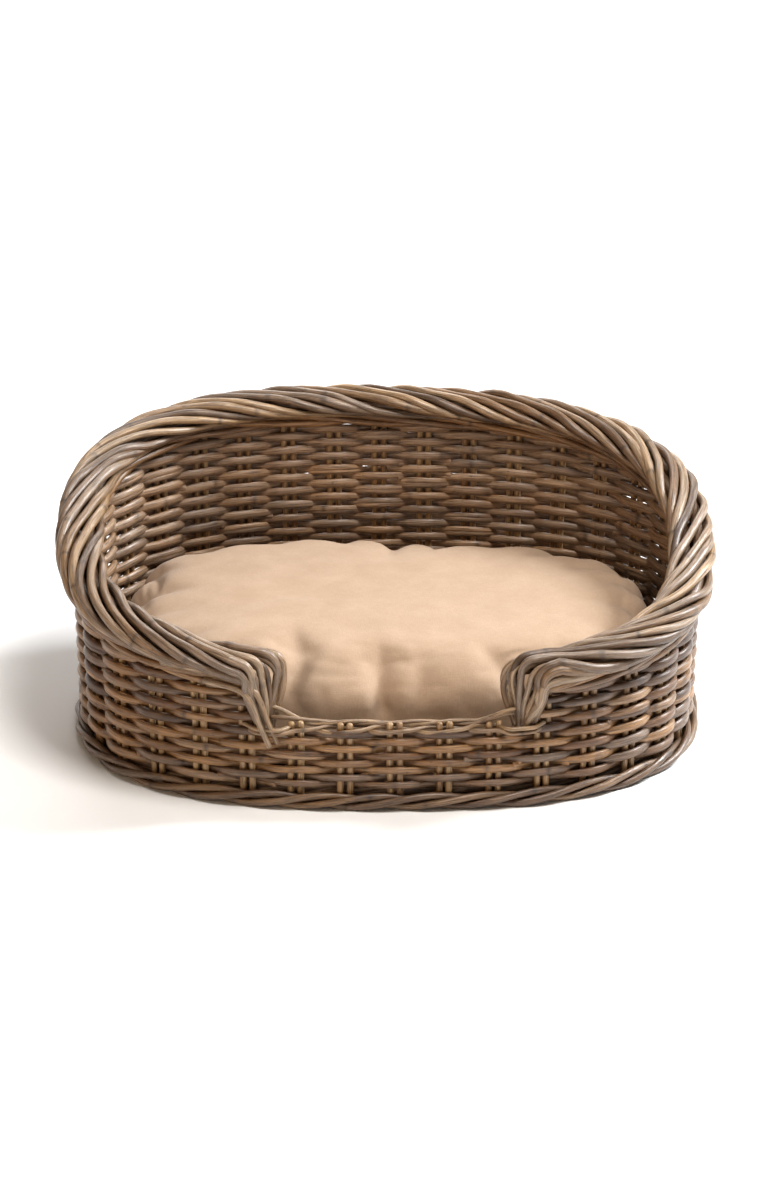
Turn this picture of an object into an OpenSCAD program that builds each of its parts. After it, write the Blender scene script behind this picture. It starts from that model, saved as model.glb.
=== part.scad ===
// Oval wicker pet bed: a woven rattan basket with a sloping rolled rim, a low front sill to step over,
// a woven base and a loose zipped cushion. Millimetres, +Z up, front towards -Y, origin on the floor
// under the middle of the basket.

/* [Outline] */
// Half the wall's width at the floor, to the middle of its stakes
half_w = 345; // [300:5:380]
// Half the wall's depth at the floor, to the middle of its stakes
half_d = 246; // [225:1:270]
// Squareness of the oval: 2 is an ellipse, and larger is squarer
oval_power = 2.6; // [2.3:0.1:3]
// Outward lean of the wall, in degrees
lean = 0.9; // [0:0.1:2]

/* [Rim] */
// Height of the rim's middle, half way from the front to the back
rim_z = 226; // [215:1:240]
// Rise of the rim for each mm towards the back
rim_rise = 0.258; // [0.22:0.002:0.28]
// Drop of the rim for each mm towards the right, as hand work leaves it
rim_drop = 0.024; // [0:0.002:0.03]
// Width of the rolled rim, from its outside to its inside
rim_w = 52; // [46:1:56]
// Height of the rolled rim
rim_h = 30; // [28:1:34]
// Diameter of a rod in the rolled rim
rim_rod_d = 6.8; // [6:0.2:6.8]
// Length along the rim that one rod takes to cross it
rim_rod_run = 215; // [200:5:240]

/* [Weave] */
// Pairs of stakes around the oval
pairs = 36; // [36:2:36]
// Diameter of a stake
stake_d = 8; // [7:0.5:8]
// Distance between the middles of the two stakes in a pair
stake_gap = 10.6; // [9:0.1:11]
// Height from one woven row to the next
row_pitch = 8.8; // [8.6:0.1:9]
// Height of a woven strand
strand_h = 7.6; // [6:0.1:7.8]
// Thickness of a woven strand through the wall
strand_t = 6; // [5:0.5:6]

/* [Opening] */
// Rows in the low sill at the front
sill_rows = 8; // [7:1:8]
// Distance from the opening's middle to the middle of its end wraps
opening_half = 140; // [138:1:142]
// How far the opening's middle lies to the right of the basket's middle
opening_shift = 9; // [0:1:12]

/* [Cushion] */
// Height of the cushion's top above the floor
cushion_top = 150; // [130:5:160]
// Thickness of the cushion's cover
cover_t = 2; // [1.5:0.5:3]
// Length of the zip at the back of the cover
zip_len = 210; // [160:10:220]

/* [Hidden] */
// Brings the middle of the overall depth over the origin: the rim overhangs more at the back
shift_y = -7.7;
// Clear space left between neighbouring pieces
gap = 0.6;
outline_steps = 1440;

// ---- foot and base ----
foot_h = 20.4;
foot_strands = 3;
foot_pitch = foot_h / foot_strands;
foot_t = 8;
foot_inner_z = 7;
first_row_z = 23;
stake_foot_z = 2;
base_hoop_t = 10;
base_hoop_z = [4, 17];
base_inset = stake_d / 2 + 2 * gap + foot_t + base_hoop_t + 2;
base_stick_d = 7;
base_stick_pitch = 55;
base_z = 11;
base_cane_w = 13;
base_cane_t = 4;
base_cane_pitch = 14.5;
base_flat = 8;

// ---- rim ----
rim_rod_start = -50;
rim_rod_stations = 12;
rim_rod_sides = 5;
rim_rods_per_pair = 2;
rim_hoop_d = 12.4;
rim_hoop_offset = 8;
rim_wale_d = 6.6;
rim_wale_drop = 18;
hoop_step = 30;
hoop_sides = 6;
rim_half_w = (rim_w - rim_rod_d) / 2;
rim_half_h = (rim_h - rim_rod_d) / 2;
rim_wale_offset = (stake_d + rim_wale_d) / 2 + gap;
under_rim = rim_wale_drop + rim_wale_d / 2 + 4 * gap;

// ---- opening ----
wrap_rods = 6;
wrap_rod_d = 7;
wrap_rod_sides = 6;
wrap_spread = 40;
wrap_fan = 35;
wrap_bend_r = 20;
wrap_crown_drop = 5;
wrap_reach = 36;
wrap_stub_d = 7;
sill_strand_h = 5.5;
sill_strand_t = 5;
sill_top = first_row_z + sill_rows * row_pitch;
leg_z = sill_top + 9;
stub_z = sill_top + 8;
row_end = opening_half + 18;
rim_end = opening_half + wrap_reach;

// ---- cushion ----
cushion_inset = rim_w / 2 + 4;
cushion_base = 20.3;
cushion_back = half_d - cushion_inset - 7;
cushion_sides = 32;
// Height share and inset of each ring of the cushion's rounded outline, from the floor up
cushion_rings = [[0, 42], [0.03, 22], [0.12, 8], [0.27, 0], [0.5, 0], [0.71, 7], [0.86, 24], [0.96, 62],
                 [1, 112]];
pad_gap = cover_t + gap;
zip_z = 56;
zip_tape = [zip_len, 0.8, 24];
zip_teeth = [zip_len - 6, 1.6, 5];
zip_slider = [11, 3.4, 9];
zip_pull = [4, 1.4, 24];
zip_end_gap = 4;

module centred() translate([0, shift_y, 0]) children();

// ---- the oval and the distance along it ----
function signed_power(v, p) = sign(v) * pow(abs(v), p);
function oval_point(angle, a, b) =
    [a * signed_power(cos(angle), 2 / oval_power), b * signed_power(sin(angle), 2 / oval_power)];
outline = [for (i = [0 : outline_steps]) oval_point(-90 + 360 * i / outline_steps, half_w, half_d)];
outline_s = [for (i = 0, s = 0; i <= outline_steps;
                  s = s + (i < outline_steps ? norm(outline[i + 1] - outline[i]) : 0), i = i + 1) s];
outline_x = [for (i = [0 : outline_steps]) [outline_s[i], outline[i][0]]];
outline_y = [for (i = [0 : outline_steps]) [outline_s[i], outline[i][1]]];
round_trip = outline_s[outline_steps];
pair_pitch = round_trip / pairs;

function around(s) = s - round_trip * floor(s / round_trip);
function plan(s) = [lookup(around(s), outline_x), lookup(around(s), outline_y)];
function unit(v) = v / norm(v);
function along(s) = unit(plan(s + 3) - plan(s - 3));
function outward(s) = let (t = along(s)) [t[1], -t[0]];
function wall(s, z, offset) = plan(s) + outward(s) * (offset + z * tan(lean));
function wall3(s, z, offset) = let (p = wall(s, z, offset)) [p[0], p[1], z];
function rim_height(s) = let (p = plan(s)) rim_z + rim_rise * p[1] - rim_drop * p[0];
function rim_point(s, offset, dz) = let (z = rim_height(s)) wall3(s, z, offset) + [0, 0, dz];
function pair_at(k) = opening_shift + k * pair_pitch;
// Distance along the wall from the opening's middle, the shorter way round
function from_front(s) = let (d = around(s - opening_shift)) min(d, round_trip - d);

// ---- tubes that follow a path ----
// guide holds one vector for each point, which the tube's first side faces
function ring_at(path, guide, i, r, n) =
    let (
        last = len(path) - 1,
        t = unit(path[min(i + 1, last)] - path[max(i - 1, 0)]),
        v = unit(cross(t, guide[i])),
        u = cross(v, t)
    )
    [for (j = [0 : n - 1]) path[i] + r * (cos(360 * j / n) * u + sin(360 * j / n) * v)];

function tube_points(run, r, n) = [for (i = [0 : len(run[0]) - 1]) each ring_at(run[0], run[1], i, r, n)];
function tube_faces(stations, n, from) = concat(
    [[for (j = [0 : n - 1]) from + j]],
    [for (i = [0 : stations - 2], j = [0 : n - 1])
        let (a = from + i * n + j, b = from + i * n + (j + 1) % n)
        [a, a + n, b + n, b]],
    [[for (j = [0 : n - 1]) from + stations * n - 1 - j]]);

// Separate tubes of one diameter; each run is [path, guide]
module tubes(runs, d, n) {
    firsts = [for (k = 0, from = 0; k < len(runs); from = from + n * len(runs[k][0]), k = k + 1) from];
    polyhedron(
        points = [for (run = runs) each tube_points(run, d / 2, n)],
        faces = [for (k = [0 : len(runs) - 1]) each tube_faces(len(runs[k][0]), n, firsts[k])],
        convexity = 10);
}

// A flat-sided strand: an upright band that follows the listed [distance, offset] points
module band(points, z, h, t) {
    outer = [for (p = points) wall(p[0], z, p[1] + t / 2)];
    inner = [for (i = [len(points) - 1 : -1 : 0]) wall(points[i][0], z, points[i][1] - t / 2)];
    translate([0, 0, z]) linear_extrude(height = h) polygon(concat(outer, inner));
}

// A closed flat ring around the wall, from one offset to another
module ring_band(inner_offset, outer_offset, z, h) {
    steps = 2 * pairs;
    translate([0, 0, z]) linear_extrude(height = h) difference() {
        polygon([for (i = [0 : steps - 1]) wall(round_trip * i / steps, z, outer_offset)]);
        polygon([for (i = [0 : steps - 1]) wall(round_trip * i / steps, z, inner_offset)]);
    }
}

// ---- stakes ----
module stake(s, top_z) {
    dir = outward(s);
    foot = wall3(s, stake_foot_z, 0);
    translate(foot) rotate([0, lean, atan2(dir[1], dir[0])])
        cylinder(h = top_z - stake_foot_z, d = stake_d, $fn = 24);
}

module stake_pair(k, top_z) {
    for (side = [-1, 1]) stake(pair_at(k) + side * stake_gap / 2, top_z);
}

module stakes_under_rim(first, last) {
    for (k = [first : last]) stake_pair(k, rim_height(pair_at(k)) - rim_hoop_d / 2 - 3);
}

module stakes_sill() {
    color("burlywood") centred() for (k = [-2 : 2]) stake_pair(k, stub_z);
}

module stakes_right() { color("burlywood") centred() stakes_under_rim(3, 12); }
module stakes_back() { color("burlywood") centred() stakes_under_rim(13, 23); }
module stakes_left() { color("burlywood") centred() stakes_under_rim(24, 33); }

// ---- woven rows ----
strand_swing = stake_d / 2 + strand_t / 2 + gap;
// Points of one strand about each pair: distance from it in shares of the pitch, and share of the swing
strand_knots = [[-0.22, 0.94], [0, 1], [0.22, 0.94]];
row_count = floor((rim_z + rim_rise * half_d - under_rim - first_row_z) / row_pitch);

function row_name(r) = str("weave_row_", r < 9 ? "0" : "", r + 1);
function row_z(r) = first_row_z + r * row_pitch;
function row_clear(s, r) =
    r < sill_rows || (from_front(s) > row_end && row_z(r) + strand_h < rim_height(s) - under_rim);
function row_points(r) =
    let (start = r < sill_rows ? 14 + 3 * (r % 3) : 0)
    [for (k = [start : start + pairs - 1], knot = strand_knots)
        let (s = pair_at(k) + knot[0] * pair_pitch, side = (k + r) % 2 == 0 ? 1 : -1)
        if (row_clear(s, r)) [s, side * knot[1] * strand_swing]];

module weave_row(r) {
    color("peru") centred() band(row_points(r), row_z(r), strand_h, strand_t);
}

// ---- rolled rim ----
// The rim's section is a flat bar with half-round edges, and a rod crosses it from low outside, over the
// top, to low inside. section_place gives its [offset, height] at a share of the way.
edge_run = (90 - rim_rod_start) * PI / 180 * rim_half_h;
section_flat = 2 * (rim_half_w - rim_half_h);
section_run = 2 * edge_run + section_flat;

function edge_place(side, angle) =
    [side * (section_flat / 2 + rim_half_h * cos(angle)), rim_half_h * sin(angle)];
function section_place(share) =
    let (d = share * section_run, from_end = min(d, section_run - d), side = d < section_run / 2 ? 1 : -1)
    from_end < edge_run
        ? edge_place(side, rim_rod_start + (90 - rim_rod_start) * from_end / edge_run)
        : [section_run / 2 - d, rim_half_h];

rim_first_s = opening_shift + rim_end;
rim_last_s = opening_shift + round_trip - rim_end;
rim_rod_pitch = pair_pitch / rim_rods_per_pair;
rim_rod_count = floor((rim_last_s - rim_first_s + rim_rod_run) / rim_rod_pitch) - 1;

function rod_s(j, share) = rim_last_s + rim_rod_run - (j + 1) * rim_rod_pitch - share * rim_rod_run;
// The share of a rod's run that lies between the two ends of the rim
function rod_from(j) = max(0, (rod_s(j, 0) - rim_last_s) / rim_rod_run);
function rod_to(j) = min(1, (rod_s(j, 0) - rim_first_s) / rim_rod_run);

function level_run(path) = [path, [for (p = path) [0, 0, 1]]];
function rim_rod_path(j) =
    let (stations = max(3, round(rim_rod_stations * (rod_to(j) - rod_from(j)))))
    [for (i = [0 : stations - 1])
        let (f = rod_from(j) + (rod_to(j) - rod_from(j)) * i / (stations - 1), at = section_place(f))
        rim_point(rod_s(j, f), at[0], at[1])];
function rod_middle(j) = (rod_s(j, rod_from(j)) + rod_s(j, rod_to(j))) / 2;

module rim_rods(from_s, to_s) {
    tubes([for (j = [0 : rim_rod_count - 1])
              if (rod_middle(j) >= from_s && rod_middle(j) < to_s) level_run(rim_rod_path(j))],
          rim_rod_d, rim_rod_sides);
}

module rim_rods_right() { color("tan") centred() rim_rods(0, 0.37 * round_trip); }
module rim_rods_back() { color("tan") centred() rim_rods(0.37 * round_trip, 0.63 * round_trip); }
module rim_rods_left() { color("tan") centred() rim_rods(0.63 * round_trip, round_trip); }

module rim_follower(offset, dz, d) {
    steps = round((rim_last_s - rim_first_s) / hoop_step);
    places = [for (i = [0 : steps]) rim_first_s + (rim_last_s - rim_first_s) * i / steps];
    tubes([level_run([for (s = places) rim_point(s, offset, dz)])], d, hoop_sides);
}

module rim_hoop_outer() { color("sienna") centred() rim_follower(rim_hoop_offset, 0, rim_hoop_d); }
module rim_hoop_inner() { color("sienna") centred() rim_follower(-rim_hoop_offset, 0, rim_hoop_d); }
module rim_wale(side) {
    color("peru") centred() rim_follower(side * rim_wale_offset, -rim_wale_drop, rim_wale_d);
}
module rim_wale_outer() { rim_wale(1); }
module rim_wale_inner() { rim_wale(-1); }

// ---- rods that bend down around each end of the opening ----
// side is 1 for the right-hand end and -1 for the left; reach is measured from the wrap towards the opening
function wrap_s(side, reach) = opening_shift + side * (opening_half - reach);
function wrap_point(side, reach, offset, z) = wall3(wrap_s(side, reach), z, offset);

// A rod's run from its route of [reach, height] points, at an even offset from the wall's middle
function upright_run(side, route, offset) = [
    [for (p = route) wrap_point(side, p[0], offset, p[1])],
    [for (p = route) let (n = outward(wrap_s(side, p[0]))) [n[0], n[1], 0]]
];

function wrap_rod(side, k) =
    let (
        share = k / (wrap_rods - 1),
        offset = wrap_spread * (0.5 - share),
        leg = wrap_fan * (share - 0.5),
        crown = rim_height(wrap_s(side, 0)) + rim_half_h - pow(offset / rim_half_w, 2) * wrap_crown_drop,
        first = leg - wrap_bend_r > 6 - wrap_reach ? 90 : 67.5,
        bend = [for (a = [first : -22.5 : 0])
            [leg - wrap_bend_r + wrap_bend_r * cos(a), crown - wrap_bend_r + wrap_bend_r * sin(a)]]
    )
    upright_run(side, concat([[2 - wrap_reach, crown]], bend, [[leg, leg_z]]), offset);

module end_wrap(side) {
    tubes([for (k = [0 : wrap_rods - 1]) wrap_rod(side, k)], wrap_rod_d, wrap_rod_sides);
}

module end_wrap_right() { color("tan") centred() end_wrap(1); }
module end_wrap_left() { color("tan") centred() end_wrap(-1); }

// The cut end of a rod that slants down the outside below the left-hand wrap
module wrap_stub() {
    offset = strand_swing + strand_t / 2 + wrap_stub_d / 2 + 2 * gap;
    top = rim_height(wrap_s(-1, 0)) - rim_half_h - 12;
    route = [[-40, top], [-34, (top + leg_z) / 2], [-27, leg_z - 6]];
    color("burlywood") centred() tubes([upright_run(-1, route, offset)], wrap_stub_d, wrap_rod_sides);
}

// ---- top of the sill ----
module sill_strand(side, z) {
    reach = opening_half - wrap_fan / 2 - 7;
    offset = side * (stake_d / 2 + sill_strand_t / 2 + gap);
    points = [for (i = [-6 : 6]) [opening_shift + reach * i / 6, offset]];
    color("peru") centred() band(points, z, sill_strand_h, sill_strand_t);
}

module sill_strand_outer() { sill_strand(1, sill_top); }
module sill_strand_inner() { sill_strand(-1, sill_top + 2); }

// ---- foot ----
module foot_strand(i) {
    color("saddlebrown") centred()
        ring_band(stake_d / 2 + gap, stake_d / 2 + gap + foot_t, i * foot_pitch, foot_pitch - gap);
}

module foot_strand_lower() { foot_strand(0); }
module foot_strand_middle() { foot_strand(1); }
module foot_strand_upper() { foot_strand(2); }

module foot_strand_inner() {
    color("saddlebrown") centred()
        ring_band(-stake_d / 2 - gap - foot_t, -stake_d / 2 - gap, foot_inner_z, foot_h - foot_inner_z);
}

// ---- base ----
// Half the base's length across at a distance from its middle
function half_across(v, a, b) = a * pow(1 - pow(min(abs(v) / b, 1), oval_power), 1 / oval_power);

module base_hoop() {
    edge = stake_d / 2 + 2 * gap + foot_t;
    color("sienna") centred()
        ring_band(-edge - base_hoop_t, -edge, base_hoop_z[0], base_hoop_z[1] - base_hoop_z[0]);
}

stick_count = floor((half_w - base_inset - base_cane_pitch) / base_stick_pitch);

module base_sticks() {
    color("burlywood") centred() for (i = [-stick_count : stick_count]) {
        x = i * base_stick_pitch;
        reach = half_across(x, half_d - base_inset, half_w - base_inset);
        translate([x, -reach, base_z]) rotate([-90, 0, 0])
            cylinder(h = 2 * reach, d = base_stick_d, $fn = 24);
    }
}

// One cane of the base: an upright wave over and under the sticks, seen from the front
module base_cane(j) {
    y = (j + 0.5) * base_cane_pitch;
    reach = half_across(abs(y) + base_cane_w / 2, half_w - base_inset, half_d - base_inset);
    swing = base_stick_d / 2 + base_cane_t / 2 + gap;
    knots = [for (i = [-stick_count : stick_count], e = [-base_flat, base_flat])
        if (abs(i * base_stick_pitch + e) < reach - 4)
            [i * base_stick_pitch + e, ((i + j) % 2 == 0 ? 1 : -1) * swing]];
    points = concat([[-reach, knots[0][1]]], knots, [[reach, knots[len(knots) - 1][1]]]);
    upper = [for (p = points) [p[0], base_z + p[1] + base_cane_t / 2]];
    lower = [for (i = [len(points) - 1 : -1 : 0]) [points[i][0], base_z + points[i][1] - base_cane_t / 2]];
    translate([0, y + base_cane_w / 2, 0]) rotate([90, 0, 0]) linear_extrude(height = base_cane_w)
        polygon(concat(upper, lower));
}

module base_weave() {
    half_canes = floor((half_d - base_inset - base_cane_w) / base_cane_pitch);
    color("peru") centred() for (j = [-half_canes : half_canes - 1]) base_cane(j);
}

// ---- cushion ----
module pillow(inset) {
    rings = len(cushion_rings);
    height = cushion_top - cushion_base;
    points = [for (ring = cushion_rings, i = [0 : cushion_sides - 1])
        let (
            a = half_w - cushion_inset - inset - ring[1],
            b = half_d - cushion_inset - inset - ring[1],
            p = oval_point(360 * i / cushion_sides, a, b)
        )
        [p[0], p[1], cushion_base + inset + ring[0] * (height - 2 * inset)]];
    sides = [for (k = [0 : rings - 2], i = [0 : cushion_sides - 1])
        let (a = k * cushion_sides + i, b = k * cushion_sides + (i + 1) % cushion_sides)
        [a, a + cushion_sides, b + cushion_sides, b]];
    bottom = [for (i = [0 : cushion_sides - 1]) i];
    top = [for (i = [0 : cushion_sides - 1]) rings * cushion_sides - 1 - i];
    intersection() {
        polyhedron(points = points, faces = concat([bottom], sides, [top]), convexity = 4);
        translate([-half_w, -half_d, 0]) cube([2 * half_w, half_d + cushion_back - inset, 2 * cushion_top]);
    }
}

module cushion_cover() {
    color("wheat") centred() difference() {
        pillow(0);
        pillow(cover_t);
    }
}

module cushion_pad() { color("white") centred() pillow(pad_gap); }

module on_zip(size, x, dy) {
    translate([x - size[0] / 2, cushion_back + dy, zip_z - size[2] / 2]) cube(size);
}

module zip_tape_strip() { color("tan") centred() on_zip(zip_tape, 0, gap / 2); }
module zip_teeth_row() { color("goldenrod") centred() on_zip(zip_teeth, 0, gap / 2 + zip_tape[1] + 0.1); }

zip_front = gap / 2 + zip_tape[1] + zip_teeth[1] + gap;
zip_start_x = zip_len / 2 - zip_end_gap - zip_slider[0] / 2;

module zip_slider_body() { color("silver") centred() on_zip(zip_slider, -zip_start_x, zip_front); }

module zip_pull_tab() {
    hang = zip_pull[2] / 2 - 3;
    color("silver") centred() translate([0, 0, -hang])
        on_zip(zip_pull, -zip_start_x, zip_front + zip_slider[1] + 0.1);
}

for (r = [0 : row_count - 1]) weave_row(r);
stakes_sill();
stakes_right();
stakes_back();
stakes_left();
rim_rods_right();
rim_rods_back();
rim_rods_left();
rim_hoop_outer();
rim_hoop_inner();
rim_wale_outer();
rim_wale_inner();
end_wrap_right();
end_wrap_left();
wrap_stub();
sill_strand_outer();
sill_strand_inner();
foot_strand_lower();
foot_strand_middle();
foot_strand_upper();
foot_strand_inner();
base_hoop();
base_sticks();
base_weave();
cushion_cover();
cushion_pad();
zip_tape_strip();  // zip_tape
zip_teeth_row();  // zip_teeth
zip_slider_body();  // zip_slider
zip_pull_tab();  // zip_pull
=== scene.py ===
"""Looks of the oval wicker pet bed: separate canes for every woven row, rod and wale, and a soft cushion.

Lengths are millimetres until a mesh is made, and the outline is the one that the CAD part is built on.
"""

import math

import bpy
import numpy as np
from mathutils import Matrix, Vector

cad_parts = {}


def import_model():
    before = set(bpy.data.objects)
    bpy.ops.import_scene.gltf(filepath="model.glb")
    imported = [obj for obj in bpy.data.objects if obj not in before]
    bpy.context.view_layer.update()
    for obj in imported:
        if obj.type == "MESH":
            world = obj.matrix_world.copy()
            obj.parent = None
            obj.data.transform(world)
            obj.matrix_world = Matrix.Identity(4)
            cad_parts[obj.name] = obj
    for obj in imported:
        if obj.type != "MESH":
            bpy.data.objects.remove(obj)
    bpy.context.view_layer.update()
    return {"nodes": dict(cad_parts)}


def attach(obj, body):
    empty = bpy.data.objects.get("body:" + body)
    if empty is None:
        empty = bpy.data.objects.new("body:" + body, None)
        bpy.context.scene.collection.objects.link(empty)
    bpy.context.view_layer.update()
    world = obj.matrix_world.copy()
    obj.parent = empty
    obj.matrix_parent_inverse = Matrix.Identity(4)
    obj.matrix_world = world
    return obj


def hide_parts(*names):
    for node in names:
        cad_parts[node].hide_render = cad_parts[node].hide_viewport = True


# ---- sizes shared with the CAD part ----
HALF_W = 345.0
HALF_D = 246.0
OVAL_POWER = 2.6
LEAN = math.tan(math.radians(0.9))
SHIFT_Y = -7.7
RIM_Z = 226.0
RIM_RISE = 0.258
RIM_DROP = 0.024
RIM_W = 52.0
RIM_H = 30.0
RIM_CORE_D = 6.8
RIM_ROD_START = -50.0
PAIRS = 36
STAKE_GAP = 10.6
STAKE_FOOT_Z = 2.0
ROW_PITCH = 8.8
FIRST_ROW_Z = 26.8
ROWS = 27
SILL_ROWS = 8
SILL_TOP = 93.4
OPENING_HALF = 140.0
OPENING_SHIFT = 9.0
RIM_END = 176.0
WRAP_FAN = 30.0
WRAP_SPREAD = 40.0
LEG_Z = 92.0
CUSHION_TOP = 150.0
CUSHION_BASE = 20.3
CUSHION_INSET = 30.0
CUSHION_BACK = 209.0
BASE_Z = 11.0
BASE_INSET = 25.2
BASE_STICK_PITCH = 55.0
BASE_STICKS = 5
BASE_CANE_PITCH = 14.5
BASE_CANES = 14

MM = 0.001
SEED = 20

# ---- the oval and the distance along it, from the middle of the front towards the right ----
OUTLINE_STEPS = 1440
TANGENT_REACH = 3.0


def oval(angle, a, b):
    """Points of a superellipse with half axes a and b."""
    c, s = np.cos(angle), np.sin(angle)
    x = a * np.sign(c) * np.abs(c) ** (2 / OVAL_POWER)
    y = b * np.sign(s) * np.abs(s) ** (2 / OVAL_POWER)
    return np.stack([x, y], -1)


def lengths_along(points):
    """Each point's distance along a path."""
    return np.concatenate([[0], np.cumsum(np.linalg.norm(np.diff(points, axis=0), axis=1))])


OUTLINE = oval(np.radians(-90 + 360 * np.arange(OUTLINE_STEPS + 1) / OUTLINE_STEPS), HALF_W, HALF_D)
OUTLINE_S = lengths_along(OUTLINE)
ROUND_TRIP = OUTLINE_S[-1]
PITCH = ROUND_TRIP / PAIRS


def unit(v):
    return v / np.maximum(np.linalg.norm(v, axis=-1, keepdims=True), 1e-9)


def plan(s):
    s = np.mod(s, ROUND_TRIP)
    return np.stack([np.interp(s, OUTLINE_S, OUTLINE[:, 0]), np.interp(s, OUTLINE_S, OUTLINE[:, 1])], -1)


def outward(s):
    t = unit(plan(s + TANGENT_REACH) - plan(s - TANGENT_REACH))
    return np.stack([t[..., 1], -t[..., 0]], -1)


def wall(s, z, offset):
    """Points at distance s round the wall, height z, and offset outwards from the wall's middle."""
    s, z, offset = np.broadcast_arrays(np.asarray(s, float), np.asarray(z, float), np.asarray(offset, float))
    p = plan(s) + outward(s) * (offset + z * LEAN)[..., None]
    return np.concatenate([p, z[..., None]], -1)


def rim_height(s):
    p = plan(s)
    return RIM_Z + RIM_RISE * p[..., 1] - RIM_DROP * p[..., 0]


def rim(s, offset, dz):
    """Points on the rolled rim, offset outwards and dz above its middle."""
    return wall(s, rim_height(s), offset) + UP * np.asarray(dz)[..., None]


def pair_at(k):
    """Distance round the wall of the k-th pair of stakes, counted from the sill's middle."""
    return OPENING_SHIFT + k * PITCH


def from_front(s):
    """Distance along the wall from the sill's middle, the shorter way round."""
    d = np.mod(s - OPENING_SHIFT, ROUND_TRIP)
    return np.minimum(d, ROUND_TRIP - d)


def smooth(x):
    x = np.clip(x, 0, 1)
    return x * x * (3 - 2 * x)


# ---- canes: round or flattened sticks that follow a path ----
SIDES = 12
STATION = 4.5
UP = np.array([0.0, 0.0, 1.0])
# A guide for upright canes, a little off level so that it's never square to them
ALONG_X = (1, 0, 0.01)
# Distance from a cane's end and its share of the full width there, for a cut end and for a worn, round one
CUT_ROUND = [(0.0, 0.80), (0.5, 0.93), (1.4, 1.0)]
DOME_ROUND = [(0.0, 0.35), (0.35, 0.66), (1.1, 0.86), (2.2, 0.97), (3.4, 1.0)]
# Knots: place of the first, distance between two, half length and how far they stand proud
FIRST_KNOT = (20, 200)
KNOT_GAP = (130, 260)
KNOT_LENGTH = 2.4
KNOT_SWELL = 0.05
# Wave length and share by which a cane's width varies
WIDTH_WAVE = (70, 0.035)
# Every cane starts at its own place in this length of grain
GRAIN_LENGTH = 4000


def wander(rng, at, length, size):
    """A smooth random wave along a cane."""
    waves = [(rng.uniform(0.7, 1.4), rng.uniform(0, 2 * np.pi)) for _ in range(3)]
    return size * sum(np.sin(2 * np.pi * at / (length * w) + p) for w, p in waves) / 1.8


def spread(points, run, at):
    """Values of a path's points at the given lengths along it."""
    return np.stack([np.interp(at, run, points[:, i]) for i in range(3)], -1)


def end_sizes(count, ends):
    """The share of a cane's full width at each ring, which is smaller at a rounded end."""
    size = np.ones(count)
    for n, (_, share) in enumerate(ends[0]):
        size[n] = share
    for n, (_, share) in enumerate(ends[1]):
        size[-1 - n] = share
    return size


def cane_rings(total, ends, step):
    """Distances along a cane of its rings: close together at the ends and evenly spaced between them."""
    at = np.linspace(0, total, max(4, int(total / step)) + 1)
    first = np.array([d for d, _ in ends[0]])
    last = np.array([total - d for d, _ in ends[1]][::-1])
    return np.concatenate([first, at[(at > first[-1] + 0.5) & (at < last[0] - 0.5)], last])


def make_cane(rng, path, thick, tall, tone, guide=UP, ends=(CUT_ROUND, CUT_ROUND), sides=SIDES, step=STATION):
    """A round or oval cane along dense points.

    Its half width is thick across the guide direction and tall along it. Each point keeps its place along
    and around its own cane, for the grain, and the cane's own tone.
    """
    path = np.asarray(path, float)
    run = lengths_along(path)
    at = cane_rings(run[-1], ends, step)
    place = spread(path, run, at)
    up = spread(np.broadcast_to(np.asarray(guide, float), path.shape), run, at)
    thick = np.interp(at, run, np.broadcast_to(thick, run.shape))
    tall = np.interp(at, run, np.broadcast_to(tall, run.shape))
    knot = np.zeros(len(at))
    for where in np.arange(rng.uniform(*FIRST_KNOT), run[-1], rng.uniform(*KNOT_GAP)):
        knot = np.maximum(knot, np.exp(-(((at - where) / KNOT_LENGTH) ** 2)))
    size = (end_sizes(len(at), ends) + wander(rng, at, *WIDTH_WAVE)) * (1 + KNOT_SWELL * knot)
    tangent = unit(np.gradient(place, axis=0))
    side = unit(np.cross(tangent, up))
    up = np.cross(side, tangent)
    angle = 2 * np.pi * np.arange(sides) / sides
    c, s = np.cos(angle)[None, :, None], np.sin(angle)[None, :, None]
    ring = side[:, None] * c * (thick * size)[:, None, None] + up[:, None] * s * (tall * size)[:, None, None]
    start = rng.uniform(0, GRAIN_LENGTH)
    along = np.broadcast_to((at + start)[:, None], (len(at), sides))
    grain = np.stack([along, tall[:, None] * c[..., 0] + start, tall[:, None] * s[..., 0] + start], -1)
    return {
        "at": at,
        "points": place[:, None] + ring,
        "grain": grain,
        "knot": np.repeat(knot[:, None], sides, 1),
        "tone": np.full((len(at), sides), tone),
    }


def add_object(name, data):
    piece = bpy.data.objects.new(name, data)
    bpy.context.scene.collection.objects.link(piece)
    return piece


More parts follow.
